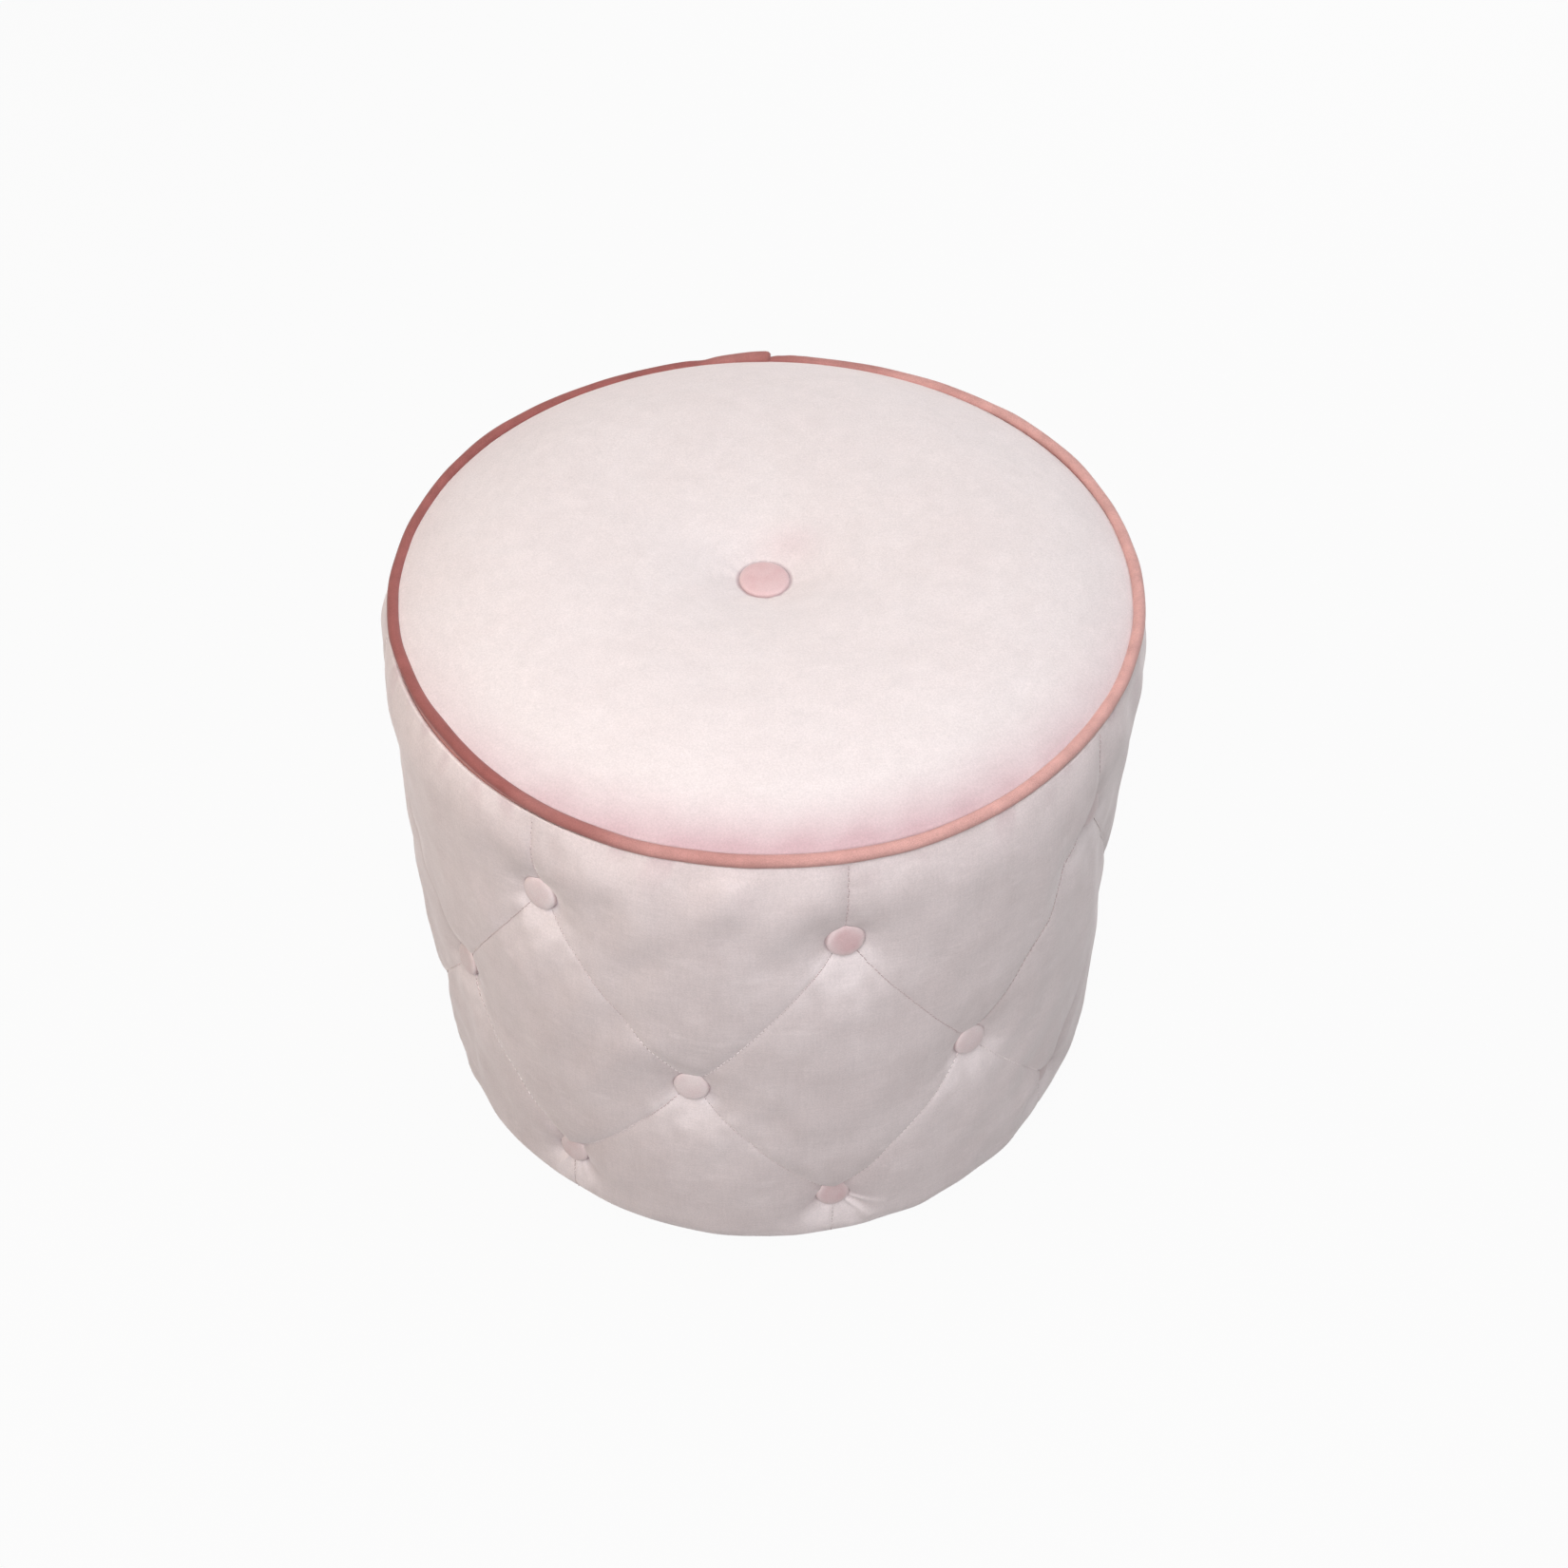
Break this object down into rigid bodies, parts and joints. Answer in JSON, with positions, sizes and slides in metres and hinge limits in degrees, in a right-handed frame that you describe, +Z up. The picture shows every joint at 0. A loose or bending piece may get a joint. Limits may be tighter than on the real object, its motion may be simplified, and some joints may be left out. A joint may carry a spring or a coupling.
{
  "type": "pouf",
  "caption": "Round upholstered pouf in pale velvet, with diamond-quilted buttoned sides, a crowned buttoned seat and a piping bead round the seat seam.",
  "frame": {"origin": "on the floor, under the middle of the pouf", "axes": "+Z up; the front of the picture's view faces -Y, +X is to its right"},
  "size_m": [0.3786, 0.3786, 0.3329],
  "materials": {
    "blush_velvet": "short-pile velvet, pale blush, soft sheen",
    "rose_velvet": "short-pile velvet, dusty rose",
    "button_velvet": "short-pile velvet, pale pink, stretched over a cap",
    "button_steel": "plated pressed steel",
    "cotton_cord": "twisted cotton",
    "anchor_nylon": "moulded nylon",
    "foam": "open-cell polyurethane foam",
    "wadding": "bonded polyester wadding",
    "plywood": "raw plywood",
    "pine": "raw planed pine",
    "hardboard": "thin bent hardboard, smooth outside",
    "fastener_steel": "zinc-plated",
    "black_nonwoven": "spun-bonded nonwoven, black",
    "glide_plastic": "moulded polyethylene, black"
  },
  "bodies": {
    "root": {"base_board": "plywood", "base_board_screws": "fastener_steel", "base_glides": "glide_plastic", "cover_staples": "fastener_steel", "dust_cover": "black_nonwoven", "dust_cover_staples": "fastener_steel", "frame_post_1": "pine", "frame_post_2": "pine", "frame_post_3": "pine", "frame_post_4": "pine", "glide_nails": "fastener_steel", "lower_anchors": "anchor_nylon", "lower_button_1": "button_velvet", "lower_button_2": "button_velvet", "lower_button_3": "button_velvet", "lower_button_4": "button_velvet", "lower_button_5": "button_velvet", "lower_button_6": "button_velvet", "lower_button_7": "button_velvet", "lower_button_8": "button_velvet", "lower_button_backs": "button_steel", "lower_twines": "cotton_cord", "middle_anchors": "anchor_nylon", "middle_button_1": "button_velvet", "middle_button_2": "button_velvet", "middle_button_3": "button_velvet", "middle_button_4": "button_velvet", "middle_button_5": "button_velvet", "middle_button_6": "button_velvet", "middle_button_7": "button_velvet", "middle_button_8": "button_velvet", "middle_button_backs": "button_steel", "middle_twines": "cotton_cord", "piping": "rose_velvet", "piping_cord": "cotton_cord", "seat_anchor": "anchor_nylon", "seat_board": "plywood", "seat_board_screws": "fastener_steel", "seat_button": "button_velvet", "seat_button_back": "button_steel", "seat_cover": "blush_velvet", "seat_foam": "foam", "seat_twine": "cotton_cord", "seat_wadding": "wadding", "side_cover": "blush_velvet", "side_foam": "foam", "side_wall": "hardboard", "upper_anchors": "anchor_nylon", "upper_button_1": "button_velvet", "upper_button_2": "button_velvet", "upper_button_3": "button_velvet", "upper_button_4": "button_velvet", "upper_button_5": "button_velvet", "upper_button_6": "button_velvet", "upper_button_7": "button_velvet", "upper_button_8": "button_velvet", "upper_button_backs": "button_steel", "upper_twines": "cotton_cord", "wall_staples": "fastener_steel"}
  },
  "joints": []
}
